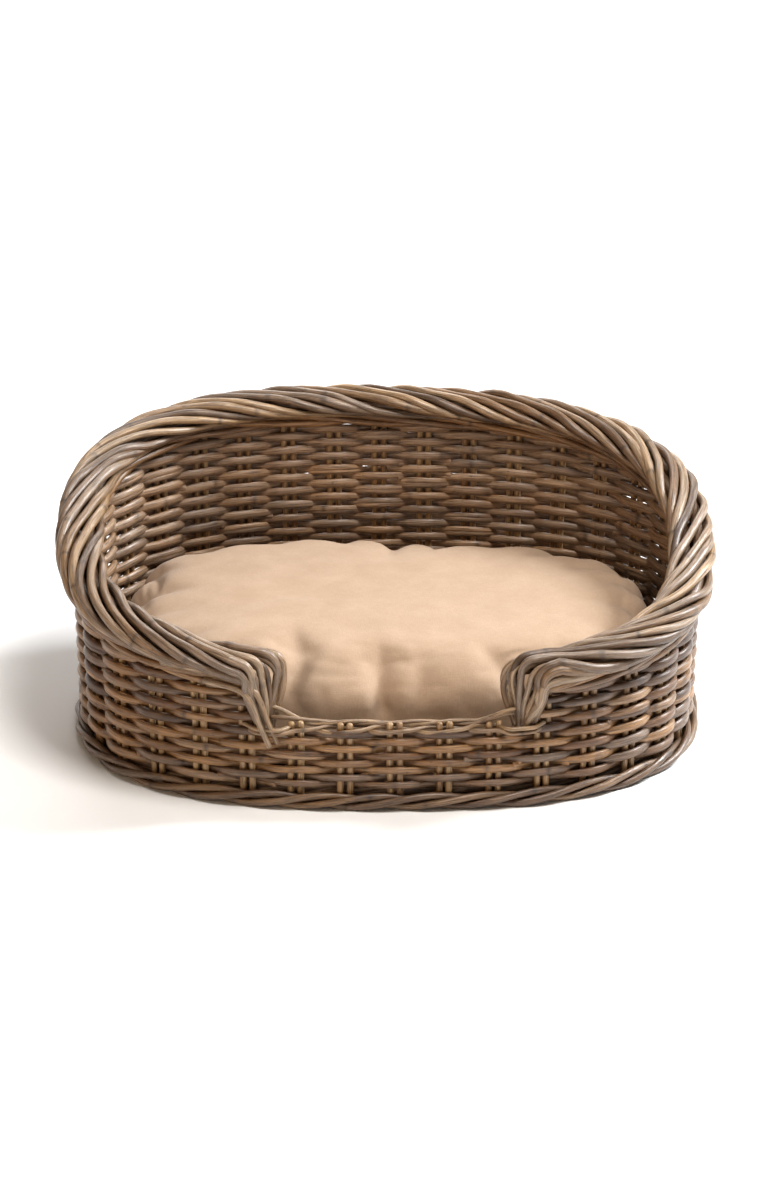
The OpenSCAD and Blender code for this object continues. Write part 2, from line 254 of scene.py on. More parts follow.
class Canes:
    """Collects canes and makes one mesh of them."""

    def __init__(self, seed):
        self.rng = np.random.default_rng(SEED * 1000 + seed)
        self.parts = {"points": [], "grain": [], "knot": [], "tone": []}
        self.faces = []
        self.count = 0

    def wander(self, at, length, size):
        return wander(self.rng, at, length, size)

    def put(self, cane, first=0, last=None):
        """Takes the rings of a cane from first to last."""
        last = len(cane["at"]) - 1 if last is None else last
        rings = last - first + 1
        sides = cane["tone"].shape[1]
        for key, store in self.parts.items():
            part = cane[key][first:last + 1]
            store.append(part.reshape(rings * sides, *part.shape[2:]))
        i, j = np.meshgrid(np.arange(rings - 1), np.arange(sides), indexing="ij")
        a, b = self.count + i * sides + j, self.count + i * sides + (j + 1) % sides
        self.faces.extend(np.stack([a, b, b + sides, a + sides], -1).reshape(-1, 4).tolist())
        end = self.count + (rings - 1) * sides
        self.count += rings * sides
        self.cap(cane, first, self.count if first else end - (rings - 1) * sides, True)
        self.cap(cane, last, self.count if last < len(cane["at"]) - 1 else end, False)

    def cap(self, cane, ring, start, turned):
        """Closes a cane's end, with points of its own where the cane runs on in another piece."""
        sides = cane["tone"].shape[1]
        if start == self.count:
            for key, store in self.parts.items():
                store.append(cane[key][ring])
            self.count += sides
        face = list(range(start, start + sides))
        self.faces.append(face[::-1] if turned else face)

    def add(self, path, thick, tall, tone, **how):
        self.put(make_cane(self.rng, path, thick, tall, tone, **how))

    def build(self, node, material, slot, ending="_canes"):
        """Makes the mesh, which stands for a CAD node and rides on the basket."""
        name = node + ending
        data = {key: np.concatenate(parts) for key, parts in self.parts.items()}
        points = data["points"] + np.array([0, SHIFT_Y, 0])
        mesh = bpy.data.meshes.new(name)
        mesh.from_pydata((points * MM).tolist(), [], self.faces)
        grain = mesh.attributes.new("grain", "FLOAT_VECTOR", "POINT")
        grain.data.foreach_set("vector", data["grain"].astype(np.float32).ravel())
        for key in ("tone", "knot"):
            attribute = mesh.attributes.new(key, "FLOAT", "POINT")
            attribute.data.foreach_set("value", data[key].astype(np.float32))
        mesh.shade_smooth()
        mesh.materials.append(material)
        piece = add_object(name, mesh)
        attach(piece, "basket")
        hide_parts(node)


# ---- node materials ----
class Graph:
    """A short way to write the node tree of a material or a world."""

    def __init__(self, owner, shader="Principled BSDF"):
        owner.use_nodes = True
        self.owner = owner
        self.tree = owner.node_tree
        self.shader = self.tree.nodes[shader]

    def node(self, kind, inputs=None, **settings):
        node = self.tree.nodes.new(kind)
        for key, value in settings.items():
            setattr(node, key, value)
        for key, value in (inputs or {}).items():
            if isinstance(value, bpy.types.NodeSocket):
                self.tree.links.new(value, node.inputs[key])
            else:
                node.inputs[key].default_value = value
        return node

    def attribute(self, name, output="Fac"):
        return self.node("ShaderNodeAttribute", attribute_name=name).outputs[output]

    def noise(self, vector, scale, detail=3.0, rough=0.55, stretch=(1, 1, 1)):
        at = self.node("ShaderNodeMapping", {"Vector": vector, "Scale": stretch}).outputs[0]
        return self.node("ShaderNodeTexNoise", {"Vector": at, "Scale": scale, "Detail": detail,
                                                "Roughness": rough}).outputs["Fac"]

    def ramp(self, fac, stops):
        node = self.node("ShaderNodeValToRGB", {"Fac": fac})
        ramp = node.color_ramp
        while len(ramp.elements) < len(stops):
            ramp.elements.new(0.5)
        for element, (place, colour) in zip(ramp.elements, stops):
            element.position = place
            element.color = colour
        return node.outputs["Color"]

    def span(self, value, low, high, to_low=0.0, to_high=1.0):
        return self.node("ShaderNodeMapRange", {"Value": value, "From Min": low, "From Max": high,
                                                "To Min": to_low, "To Max": to_high}).outputs["Result"]

    def math(self, operation, a, b):
        return self.node("ShaderNodeMath", {0: a, 1: b}, operation=operation).outputs[0]

    def vectors(self, operation, a, b):
        return self.node("ShaderNodeVectorMath", {0: a, 1: b}, operation=operation)

    def mix(self, fac, a, b):
        return self.node("ShaderNodeMix", {"Factor": fac, 6: a, 7: b}, data_type="RGBA").outputs[2]

    def facing_out(self):
        """Above 0 where a surface faces away from the basket's middle, and below 0 where it faces inwards."""
        here = self.node("ShaderNodeNewGeometry")
        level = self.vectors("MULTIPLY", here.outputs["Position"], (1, 1, 0)).outputs["Vector"]
        return self.vectors("DOT_PRODUCT", level, here.outputs["Normal"]).outputs["Value"]

    def bump(self, height, strength, distance):
        return self.node("ShaderNodeBump", {"Height": height, "Strength": strength,
                                            "Distance": distance}).outputs["Normal"]

    def wire(self, socket, value):
        self.tree.links.new(value, self.shader.inputs[socket])

    def put(self, **values):
        for key, value in values.items():
            self.shader.inputs[key.replace("_", " ")].default_value = value


def rgb(r, g, b):
    return (r, g, b, 1.0)


def scaled(colour, share):
    return rgb(*[min(1, c * share) for c in colour[:3]])


# Colours of weathered rattan, and a paler grey that is painted light on surfaces facing the basket's middle
CANE_DARK = rgb(0.036, 0.012, 0.002)
CANE_MID = rgb(0.155, 0.064, 0.017)
CANE_LIGHT = rgb(0.36, 0.19, 0.072)
CANE_GREY = rgb(0.30, 0.225, 0.17)
PAINTED_LIGHT_INSIDE = rgb(0.50, 0.37, 0.27)
# Noise scales along a cane and across it, per mm
PATCHES = (0.011, 0.055, 0.055)
STREAKS = (0.035, 0.75, 0.75)
FIBRES = (0.06, 2.4, 2.4)
SPOTS = (0.16, 0.42, 0.42)
# A cane's tone times this, less its whole part, is a second random number that sets its greyness
TONE_TO_GREY = 9.7
# Noise scales of the cover's threads, per metre
THREADS_ALONG = (900, 160, 160)
THREADS_ACROSS = (160, 900, 900)


def cane_material(name, dark, mid, light, grey_amount, rough=0.4, inner_painted_light=0.0):
    """Weathered rattan: each cane has its own brown, with long streaks, grey patches and dark knots, and
    painted light that makes inward-facing surfaces paler.
    """
    g = Graph(bpy.data.materials.new(name))
    grain = g.attribute("grain", "Vector")
    tone = g.attribute("tone")
    patches = g.noise(grain, 1.0, 3.0, 0.6, PATCHES)
    streaks = g.noise(grain, 1.0, 5.0, 0.65, STREAKS)
    fibres = g.noise(grain, 1.0, 2.0, 0.5, FIBRES)
    spots = g.noise(grain, 1.0, 2.0, 0.5, SPOTS)
    shade = g.math("ADD", g.math("MULTIPLY", tone, 0.75), g.math("MULTIPLY", patches, 0.45))
    base = g.ramp(shade, [(0.12, dark), (0.45, mid), (0.86, light)])
    own_grey = g.math("FRACT", g.math("MULTIPLY", tone, TONE_TO_GREY), 0.0)
    greyness = g.math("ADD", g.math("MULTIPLY", patches, 0.7), g.math("MULTIPLY", own_grey, 0.45))
    base = g.mix(g.span(greyness, 0.45, 0.75, 0.0, grey_amount), base, CANE_GREY)
    # Painted light: surfaces that face the basket's middle are mixed towards a paler grey, so the inner walls
    # look more brightly lit
    base = g.mix(g.span(g.facing_out(), -0.02, -0.22, 0.0, inner_painted_light), base, PAINTED_LIGHT_INSIDE)
    base = g.mix(g.span(streaks, 0.36, 0.62, 0.75, 0.0), base, scaled(dark, 0.42))
    base = g.mix(g.span(fibres, 0.52, 0.78, 0.0, 0.35), base, scaled(light, 1.35))
    base = g.mix(g.span(spots, 0.66, 0.74, 0.0, 0.55), base, scaled(dark, 0.3))
    base = g.mix(g.math("MULTIPLY", g.attribute("knot"), 0.7), base, scaled(dark, 0.5))
    g.wire("Base Color", base)
    g.wire("Roughness", g.span(streaks, 0.3, 0.7, rough + 0.16, rough - 0.08))
    relief = g.math("ADD", g.math("MULTIPLY", streaks, 0.7), g.math("MULTIPLY", fibres, 0.3))
    g.wire("Normal", g.bump(relief, 0.9, 0.0009))
    g.put(Specular_IOR_Level=0.7, Coat_Weight=0.3, Coat_Roughness=0.28)
    return g.owner


def cotton_material(name, base, dark):
    """Woven cotton: a fine thread relief with soft uneven shading."""
    g = Graph(bpy.data.materials.new(name))
    place = g.node("ShaderNodeTexCoord").outputs["Object"]
    mottled = g.noise(place, 26.0, 4.0, 0.6)
    along = g.noise(place, 1.0, 3.0, 0.6, THREADS_ALONG)
    across = g.noise(place, 1.0, 3.0, 0.6, THREADS_ACROSS)
    threads = g.math("ADD", along, across)
    colour = g.mix(g.span(mottled, 0.3, 0.7), base, dark)
    colour = g.mix(g.span(threads, 0.75, 1.25, 0.22, 0.0), colour, scaled(dark, 0.6))
    g.wire("Base Color", colour)
    g.wire("Normal", g.bump(threads, 0.35, 0.0006))
    g.put(Roughness=0.92, Specular_IOR_Level=0.18, Sheen_Weight=0.15, Sheen_Roughness=0.5)
    return g.owner


def metal_material(name, bright, dull):
    """Zip metal with dull, worn patches."""
    g = Graph(bpy.data.materials.new(name))
    place = g.node("ShaderNodeTexCoord").outputs["Object"]
    worn = g.noise(place, 300.0, 3.0)
    g.wire("Base Color", g.mix(g.span(worn, 0.35, 0.65), bright, dull))
    g.wire("Roughness", g.span(worn, 0.3, 0.7, 0.28, 0.5))
    g.put(Metallic=1.0)
    return g.owner


def make_materials():
    stake = (rgb(0.20, 0.10, 0.036), rgb(0.36, 0.205, 0.085), rgb(0.50, 0.33, 0.16))
    rim_cane = (CANE_DARK, rgb(0.20, 0.108, 0.047), rgb(0.40, 0.26, 0.14))
    foot_cane = (rgb(0.03, 0.011, 0.003), rgb(0.105, 0.047, 0.016), rgb(0.24, 0.135, 0.06))
    return {
        # The weave's inward-facing surfaces get painted light, a paler grey, at this share
        "weave": cane_material("weave_cane", CANE_DARK, CANE_MID, CANE_LIGHT, 0.52, inner_painted_light=0.46),
        "stake": cane_material("stake_cane", *stake, 0.25),
        "rim": cane_material("rim_cane", *rim_cane, 0.6, 0.42),
        "wale": cane_material("wale_cane", CANE_DARK, rgb(0.18, 0.09, 0.036), CANE_LIGHT, 0.5),
        "foot": cane_material("foot_cane", *foot_cane, 0.35),
        "base": cane_material("base_cane", CANE_DARK, CANE_MID, CANE_LIGHT, 0.3),
        "cotton": cotton_material("cover_cotton", rgb(0.44, 0.32, 0.23), rgb(0.39, 0.278, 0.195)),
        "tape": cotton_material("zip_tape_cotton", rgb(0.42, 0.29, 0.18), rgb(0.34, 0.23, 0.14)),
        "brass": metal_material("zip_brass", rgb(0.62, 0.44, 0.19), rgb(0.42, 0.29, 0.13)),
    }


# ---- stakes ----
STAKE_R = 3.8
STAKE_STEP = 3.0
# How unevenly the stakes are cut off
STAKE_CUT = 1.5
STAKE_UNDER_RIM = 7.0
SILL_STAKE_RISE = 9.5
# Wave length and size of a stake's bends along the wall and across it
STAKE_BENDS = ((160, 0.45), (190, 0.3))


# First and last pair of each group
STAKE_GROUPS = {"sill": (-2, 2), "right": (3, 12), "back": (13, 23), "left": (24, 33)}


def stake_top(k):
    """Where the k-th pair is cut off: a little above the sill, or inside the rim."""
    if abs(k) <= STAKE_GROUPS["sill"][1]:
        return SILL_TOP + SILL_STAKE_RISE
    return rim_height(pair_at(k)) - STAKE_UNDER_RIM


def stake_pair(canes, k):
    for side in (-1, 1):
        s = pair_at(k) + side * STAKE_GAP / 2
        high = stake_top(k) + canes.rng.uniform(-STAKE_CUT, STAKE_CUT)
        z = np.append(np.arange(STAKE_FOOT_Z, high, STAKE_STEP), high)
        drift = canes.wander(z, *STAKE_BENDS[0])
        thick = STAKE_R * canes.rng.uniform(0.94, 1.05)
        path = wall(s + drift, z, canes.wander(z, *STAKE_BENDS[1]))
        tone = canes.rng.uniform(0.1, 0.9)
        canes.add(path, thick, thick, tone, guide=ALONG_X, ends=(CUT_ROUND, DOME_ROUND))


def stakes(mats):
    for seed, (group, (first, last)) in enumerate(STAKE_GROUPS.items(), 101):
        canes = Canes(seed)
        for k in range(first, last + 1):
            stake_pair(canes, k)
        canes.build("stakes_" + group, mats["stake"], "stake_cane")


# ---- woven rows ----
SWING = 6.8
# How square the swing is: strands lie flat against the stakes and cross over quickly
SWING_FLATNESS = 0.8
STRAND_TALL = 5.15
STRAND_THICK = 3.0
# How much slimmer strands are at the front, and how much taller and thicker at the sides
FRONT_SLIMMER = 0.17
FRONT_REACH = 260.0
SIDE_TALLER = 0.22
SIDE_THICKER = 0.42
# How much lower a strand runs on the wall's far side, seen from the front, than on its near side
STRAND_DROP = 5.4
# Strands run this many pairs of stakes, and overlap the next strand by these shares of the pitch
STRAND_PAIRS = (5, 15)
LEAST_STRAND = 1.6
OVERLAP_BEFORE = 0.62
OVERLAP_AFTER = 0.60
OVERLAP_RISE = 2.3
PATH_STEP = 2.0
ROPE_STEP = 3.0
# A strand's size at its thick end, and its thin end's share of that
BUTT_SIZE = (0.96, 1.10)
TIP_SIZE = (0.88, 1.0)
# Rows that run right round start at the back, at this pair and a little further on from row to row
JOIN_PAIR = 14
JOIN_STEP = 3
JOIN_SHIFT = 11
# Where the higher rows end: this far beside the opening, or this far up into the rim
ROW_FROM_WRAP = 8
ROW_INTO_RIM = 3
# Beta distribution of the canes' tones, with more dark and light ones than middle ones
TONES = (0.9, 0.9)


def weave_offset(place, size, flatness):
    """A strand's swing to one side of a stake and to the other side of the next; place counts stakes."""
    return size * np.tanh(flatness * np.cos(np.pi * place)) / math.tanh(flatness)


def row_span(r):
    """The stretch of wall that a row covers, from its right-hand end round the back to its left-hand end."""
    if r < SILL_ROWS:
        start = pair_at(JOIN_PAIR + JOIN_STEP * (r % JOIN_STEP)) + JOIN_SHIFT * r
        return start, start + ROUND_TRIP
    s = np.arange(OPENING_SHIFT, OPENING_SHIFT + ROUND_TRIP, 1.0)
    z = FIRST_ROW_Z + r * ROW_PITCH
    clear = (from_front(s) > OPENING_HALF + ROW_FROM_WRAP) & (z < rim_height(s) - RIM_H / 2 + ROW_INTO_RIM)
    return s[clear][0], s[clear][-1]


def strand_ends(rng, low, high):
    """Places along a row where its strands meet, with both ends of the row."""
    ends = [low]
    while high - ends[-1] > LEAST_STRAND * PITCH:
        reach = ends[-1] + rng.uniform(*STRAND_PAIRS) * PITCH
        k = round((reach - OPENING_SHIFT) / PITCH)
        if pair_at(k) > high - 2 * PITCH:
            break
        ends.append(pair_at(k))
    return ends + [high]


def strand(canes, row, z, start, stop, is_first, is_last):
    """One cane of a woven row, thinned where it lies beside the cane before it or after it."""
    rng = canes.rng
    low = start if is_first else start - OVERLAP_BEFORE * PITCH
    high = stop if is_last else stop + OVERLAP_AFTER * PITCH
    s = np.arange(low, high, PATH_STEP)
    before = np.zeros_like(s) if is_first else 1 - smooth((s - start) / PITCH)
    after = np.zeros_like(s) if is_last else smooth((s - stop) / PITCH + 1)
    crowd = np.clip(before + after, 0, 1)
    height = z + canes.wander(s, 170, 0.4) + canes.wander(s, 60, 0.2) + OVERLAP_RISE * (before - after)
    side = weave_offset((s - OPENING_SHIFT) / PITCH + row, SWING, SWING_FLATNESS)
    side = side * (1 + canes.wander(s, 120, 0.03))
    side = side + 0.5 * np.sign(side) * crowd
    height = height - outward(s)[:, 1] * STRAND_DROP / 2 * side / SWING
    butt = rng.uniform(*BUTT_SIZE)
    tip = butt * rng.uniform(*TIP_SIZE)
    grow = np.linspace(butt, tip, len(s)) if rng.random() < 0.5 else np.linspace(tip, butt, len(s))
    sideways = np.abs(outward(s)[:, 0])
    slim = 1 - FRONT_SLIMMER * smooth(1.6 - from_front(s) / FRONT_REACH) + SIDE_TALLER * sideways
    tall = STRAND_TALL * slim * grow * (1 - 0.24 * crowd) * (0.95 + 0.07 * np.abs(side) / SWING)
    thick = STRAND_THICK * (0.5 + 0.5 * grow) * (1 - 0.1 * crowd) * (1 + SIDE_THICKER * sideways)
    canes.add(wall(s, height, side), thick, tall, rng.beta(*TONES))


def weave_row(row, material):
    canes = Canes(row)
    low, high = row_span(row)
    z = FIRST_ROW_Z + row * ROW_PITCH + canes.rng.uniform(-0.3, 0.3)
    ends = strand_ends(canes.rng, low, high)
    for i, (start, stop) in enumerate(zip(ends, ends[1:])):
        strand(canes, row, z, start, stop, i == 0, i == len(ends) - 2)
    canes.build(f"weave_row_{row + 1:02d}", material, "weave_cane")


# ---- rolled rim and the end wraps that its rods run down into ----
RIM_HALF_W = (RIM_W - RIM_CORE_D) / 2
RIM_HALF_H = (RIM_H - RIM_CORE_D) / 2
EDGE_RUN = math.radians(90 - RIM_ROD_START) * RIM_HALF_H
SECTION_FLAT = 2 * (RIM_HALF_W - RIM_HALF_H)
SECTION_RUN = 2 * EDGE_RUN + SECTION_FLAT
RIM_FIRST = OPENING_SHIFT + RIM_END
RIM_LAST = OPENING_SHIFT + ROUND_TRIP - RIM_END
ROD_RUN = 265.0
ROD_PITCH = PITCH * 0.68
ROD_COUNT = int((RIM_LAST - RIM_FIRST + ROD_RUN) / ROD_PITCH) + 2
ROD_R = 5.1
# A rod's slim ends run on along the rim's underside, hidden by the next rods
ROD_LEAD = 45.0
ROD_TAIL = 95.0
# How far those ends sink, and the shares by which they draw in and get slimmer
LEAD_DROP = 3.0
TAIL_DROP = 3.5
END_DRAW_IN = 0.2
END_SLIMMER = 0.3
# Share of a rod's way across the rim that it makes at an even pace
EVEN_PACE = 0.42
WRAP_BEND = 17.0
# Least length of rim between a wrap's leg and the rim's end
WRAP_ROOM = 5.0
# Offset across the rim and height of the rods that fill each end's bundle
FILLERS = [(-19, -1), (-11, 4), (-3, 5), (6, 5), (14, 2), (19, -3)]
FILLER_RUN = 75.0
FILLER_R = (3.8, 4.4)
FILLER_TIP = 0.74
WRAP_DRAW_IN = 0.34
# How much of its offset a rod loses on its way down to the sill
WRAP_CLOSES = 0.66
# A rod's own run may be this share longer or shorter than the usual one
RUN_VARIES = 0.18
# Shortest share of its run that a rod cut by an end of the rim may have
LEAST_ROD = 0.12
ROD_POINTS = 110
ROD_STATION = 3.5
WRAP_TIP = 0.72
# Where, as shares of the way round from the front, the right rods end and the left ones start
RIGHT_ENDS = 0.37
LEFT_STARTS = 0.63


def section_place(share):
    """Offset and height on the rim's section, from low outside over the top to low inside."""
    d = share * SECTION_RUN
    from_end = np.minimum(d, SECTION_RUN - d)
    side = np.where(d < SECTION_RUN / 2, 1, -1)
    angle = np.radians(RIM_ROD_START + (90 - RIM_ROD_START) * np.minimum(from_end / EDGE_RUN, 1))
    on_edge = from_end < EDGE_RUN
    offset = np.where(on_edge, side * (SECTION_FLAT / 2 + RIM_HALF_H * np.cos(angle)), SECTION_RUN / 2 - d)
    return offset, np.where(on_edge, RIM_HALF_H * np.sin(angle), RIM_HALF_H)


def ease(share):
    """Rods run nearly along the rim where they start and end, and cross it faster between."""
    return EVEN_PACE * share + (1 - EVEN_PACE) * smooth(share)


def wrap_route(side, at, offset, height, rng):
    """Points of one rod from the rim's end, round the bend and down into the sill."""
    lean = -offset / WRAP_SPREAD
    leg = WRAP_FAN * lean + rng.uniform(-2, 2)
    foot_at = WRAP_DRAW_IN * leg + rng.uniform(-3, 3)
    bend = min(WRAP_BEND + rng.uniform(-3, 5), RIM_END - OPENING_HALF - WRAP_ROOM + leg)
    crown = rim_height(OPENING_SHIFT + side * OPENING_HALF) + height
    turn = np.radians(np.arange(90, -1, -7.5))
    down = np.linspace(0, 1, 16)[1:]
    sway = rng.uniform(-4, 4) * np.sin(np.pi * down)
    reach = np.concatenate([leg - bend + bend * np.cos(turn), leg + (foot_at - leg) * smooth(down) + sway])
    z = np.concatenate([crown - bend + bend * np.sin(turn), crown - bend + (LEG_Z - crown + bend) * down])
    inward = np.concatenate([np.zeros(len(turn)), smooth(down * 1.1)])
    s = OPENING_SHIFT + side * (OPENING_HALF - reach)
    path = np.concatenate([at[None], wall(s, z, offset * (1 - WRAP_CLOSES * inward))])
    angle = np.concatenate([turn, 0 * down])
    along = side * outward(s)[:, ::-1] * np.array([1, -1])
    over = np.concatenate([along * np.cos(angle)[:, None], np.sin(angle)[:, None]], -1)
    return round_path(path), round_path(np.concatenate([[UP], over]))


def cut_side(start, stop, run):
    """The end of the rim that cuts a rod short: -1 or 1, or 0 for a whole rod."""
    if start > -ROD_LEAD / run:
        return -1
    return 1 if stop < 1 + ROD_TAIL / run else 0


def rim_rod(rng, j):
    """The j-th rod: its path over the rim, half width, section and, where the rim's end cuts it, its wrap."""
    run = ROD_RUN * rng.uniform(1 - RUN_VARIES, 1 + RUN_VARIES)
    begin = RIM_LAST + ROD_RUN - (j + 1) * ROD_PITCH + rng.uniform(-7, 7) + (run - ROD_RUN) / 2
    start = max(-ROD_LEAD / run, (begin - RIM_LAST) / run)
    stop = min(1 + ROD_TAIL / run, (begin - RIM_FIRST) / run)
    if stop - start < LEAST_ROD:
        return None
    share = np.linspace(start, stop, ROD_POINTS)
    s = begin - share * run
    lead = np.maximum(-share, 0) * run / ROD_LEAD
    tail = np.maximum(share - 1, 0) * run / ROD_TAIL
    offset, height = section_place(ease(np.clip(share, 0, 1)))
    height = height - TAIL_DROP * tail - LEAD_DROP * lead
    offset = offset * (1 - END_DRAW_IN * (tail + lead))
    swell = 1 + wander(rng, s, 110, 0.055) + rng.choice((-1, 1)) * rng.uniform(0.0, 0.06)
    path = rim(s + wander(rng, s, 150, 1.5), offset * (0.4 + 0.6 * swell), height * swell)
    slim = 1 - 0.2 * smooth((share - 0.8) / 0.2) - END_SLIMMER * (tail + lead)
    thick = ROD_R * rng.uniform(0.84, 1.08) * slim
    middle = s.mean() / ROUND_TRIP
    section = "right" if middle < RIGHT_ENDS else "back" if middle < LEFT_STARTS else "left"
    side = cut_side(start, stop, run)
    at = 0 if side < 0 else -1
    wrap = wrap_route(side, path[at], offset[at], height[at], rng) if side else None
    return path, thick, section, side, wrap


def with_wrap(path, guide, thick, side, wrap):
    """A rod's path, guide and half width with its bent-down end added."""
    turned, over = wrap
    slim = np.linspace(1, WRAP_TIP, len(turned) - 1)
    if side < 0:
        longer = (turned[:0:-1], path), (over[:0:-1], guide), (thick[0] * slim[::-1], thick)
    else:
        longer = (path, turned[1:]), (guide, over[1:]), (thick, thick[-1] * slim)
    return [np.concatenate(parts) for parts in longer]


def rim_and_wraps(mats):
    """Rods that cross the rim one after the other; those cut by the opening turn down into its wraps."""
    sections = {"right": Canes(201), "back": Canes(202), "left": Canes(203)}
    wraps = {-1: Canes(204), 1: Canes(205)}
    rng = np.random.default_rng(SEED + 77)
    rods = (rim_rod(rng, j) for j in range(ROD_COUNT))
    for path, thick, section, side, wrap in filter(None, rods):
        guide = np.tile(UP, (len(path), 1))
        if side:
            path, guide, thick = with_wrap(path, guide, thick, side, wrap)
            wrap_length = lengths_along(wrap[0])[-1]
        cane = make_cane(rng, path, thick, thick, rng.beta(*TONES), guide=guide, step=ROD_STATION)
        if side < 0:
            split = int(np.searchsorted(cane["at"], wrap_length))
            wraps[side].put(cane, 0, split)
            sections[section].put(cane, split)
        elif side > 0:
            split = int(np.searchsorted(cane["at"], cane["at"][-1] - wrap_length))
            sections[section].put(cane, 0, split)
            wraps[side].put(cane, split)
        else:
            sections[section].put(cane)
    for side, canes in wraps.items():
        fillers(canes, side, rng)
    for section, canes in sections.items():
        canes.build("rim_rods_" + section, mats["rim"], "rim_cane")
    for side, name in ((1, "end_wrap_right"), (-1, "end_wrap_left")):
        wraps[side].build(name, mats["rim"], "rim_cane")


def fillers(canes, side, rng):
    """Rods that come up under the others near the rim's end and fill the bundle."""
    for offset, height in FILLERS:
        s = OPENING_SHIFT + side * np.linspace(RIM_END + FILLER_RUN, RIM_END, 12)
        rise = np.linspace(-9, 0, 12)
        path = rim(s, offset, height + rise)
        turned, over = wrap_route(side, path[-1], offset, height, rng)
        path = np.concatenate([path, turned[1:]])
        guide = np.concatenate([np.tile(UP, (len(s), 1)), over[1:]])
        thick = np.linspace(1, FILLER_TIP, len(path)) * rng.uniform(*FILLER_R)
        canes.add(path, thick, thick, rng.beta(1.4, 1.3), guide=guide, step=ROD_STATION)


def round_path(path, passes=3):
    """Corner cutting, which keeps both ends."""
    for _ in range(passes):
        a, b = path[:-1], path[1:]
        inner = np.stack([0.75 * a + 0.25 * b, 0.25 * a + 0.75 * b], 1).reshape(-1, 3)
        path = np.concatenate([path[:1], inner[1:-1], path[-1:]])
    return path


# ---- hoops inside the rim and wale under it ----
CORE_R = 7.0
CORE_OFFSET = 8.5
CORE_DROP = 1.5
CORE_PAST_END = 8
WALE_R = 4.1
WALE_OFFSET = 12.0
WALE_DROP = 18.2
WALE_REACH = (3.0, 5.4)
WALE_LAY = 5 * PITCH
WALE_PAST_END = 14
WALE_TONES = (0.35, 0.75, 0.55)


def rim_cores(mats):
    """The two hoops that the rim's rods are bent over."""
    for side, name, seed in ((1, "rim_hoop_outer", 211), (-1, "rim_hoop_inner", 212)):
        canes = Canes(seed)
        s = np.arange(RIM_FIRST - CORE_PAST_END, RIM_LAST + CORE_PAST_END, 6.0)
        canes.add(rim(s, side * CORE_OFFSET, -CORE_DROP), CORE_R, CORE_R, 0.15, step=8)
        canes.build(name, mats["wale"], "hoop_cane")


def rope(canes, s, place, centre, reach, r, lay, turn, tones):
    """Strands that wind round each other along the wall, one for each tone.

    place is wall or rim, centre the rope's offset and height there, reach the strands' reach across and up,
    and lay the length of one full turn.
    """
    for i, tone in enumerate(tones):
        angle = 2 * np.pi * (s / lay + i / len(tones)) * turn
        drift = canes.wander(s, 210, 0.5)
        offset = centre[0] + reach[0] * np.cos(angle) + 0.4 * drift
        height = centre[1] + reach[1] * np.sin(angle) + drift
        path = rim(s, offset, height) if place == "rim" else wall(s, height, offset)
        size = r * (1 + canes.wander(s, 300, 0.05))
        canes.add(path, size, size, tone)


def rim_wales(mats):
    """The wale that holds the rim's rods down, outside and inside."""
    for side, name, seed in ((1, "rim_wale_outer", 221), (-1, "rim_wale_inner", 222)):
        canes = Canes(seed)
        s = np.arange(RIM_FIRST - WALE_PAST_END, RIM_LAST + WALE_PAST_END, ROPE_STEP)
        centre = (side * WALE_OFFSET, -WALE_DROP)
        rope(canes, s, "rim", centre, WALE_REACH, WALE_R, WALE_LAY, side, WALE_TONES)
        canes.build(name, mats["wale"], "wale_cane")


# ---- foot ----
FOOT_R = 4.1
FOOT_CENTRE = (9.2, 10.6)
FOOT_REACH = (4.4, 6.0)
FOOT_TURNS = round(ROUND_TRIP / (3.3 * PITCH))
FOOT_OVERLAP = 14
FOOT_CANES = 4
FOOT_SIDES = 14
INNER_FOOT_R = 3.8
INNER_FOOT_CENTRE = (-8.6, 13.5)
INNER_FOOT_REACH = (3.0, 3.4)
INNER_FOOT_TURNS = 10
INNER_FOOT_TONES = (0.3, 0.6, 0.5)


def foot(mats):
    """Three strands that wind round the outside of the foot, and a slimmer rope inside."""
    for i, name in enumerate(("foot_strand_lower", "foot_strand_middle", "foot_strand_upper")):
        canes = Canes(231 + i)
        low = pair_at(12 + 5 * i)
        for n in range(FOOT_CANES):
            start = low + n * ROUND_TRIP / FOOT_CANES
            stop = low + (n + 1) * ROUND_TRIP / FOOT_CANES + FOOT_OVERLAP
            s = np.arange(start, stop, ROPE_STEP)
            angle = 2 * np.pi * (s / (ROUND_TRIP / FOOT_TURNS) + i / 3)
            drift = canes.wander(s, 240, 0.35)
            height = FOOT_CENTRE[1] + FOOT_REACH[1] * np.sin(angle) + drift
            path = wall(s, height, FOOT_CENTRE[0] + FOOT_REACH[0] * np.cos(angle))
            size = FOOT_R * canes.rng.uniform(0.93, 1.04) * (1 + canes.wander(s, 260, 0.05))
            canes.add(path, size, size, canes.rng.uniform(0.2, 0.9), sides=FOOT_SIDES)
        canes.build(name, mats["foot"], "foot_cane")
    canes = Canes(235)
    s = np.arange(0, ROUND_TRIP + 10, ROPE_STEP)
    lay = ROUND_TRIP / INNER_FOOT_TURNS
    rope(canes, s, "wall", INNER_FOOT_CENTRE, INNER_FOOT_REACH, INNER_FOOT_R, lay, 1, INNER_FOOT_TONES)
    canes.build("foot_strand_inner", mats["foot"], "foot_cane")


# ---- sill ----
SILL_CANE_R = 2.55
# How far past the opening's edge the outer strands reach, and the inner ones fall short
SILL_OUTER_REACH = 26
SILL_INNER_SHORT = 4
# Distances from the sill's middle where the outer strands pass over the wraps' feet and tuck in behind them
SILL_OVER_WRAP = 108
SILL_TUCK = 148
SILL_EASE = 18
SILL_RISE_RUN = 50


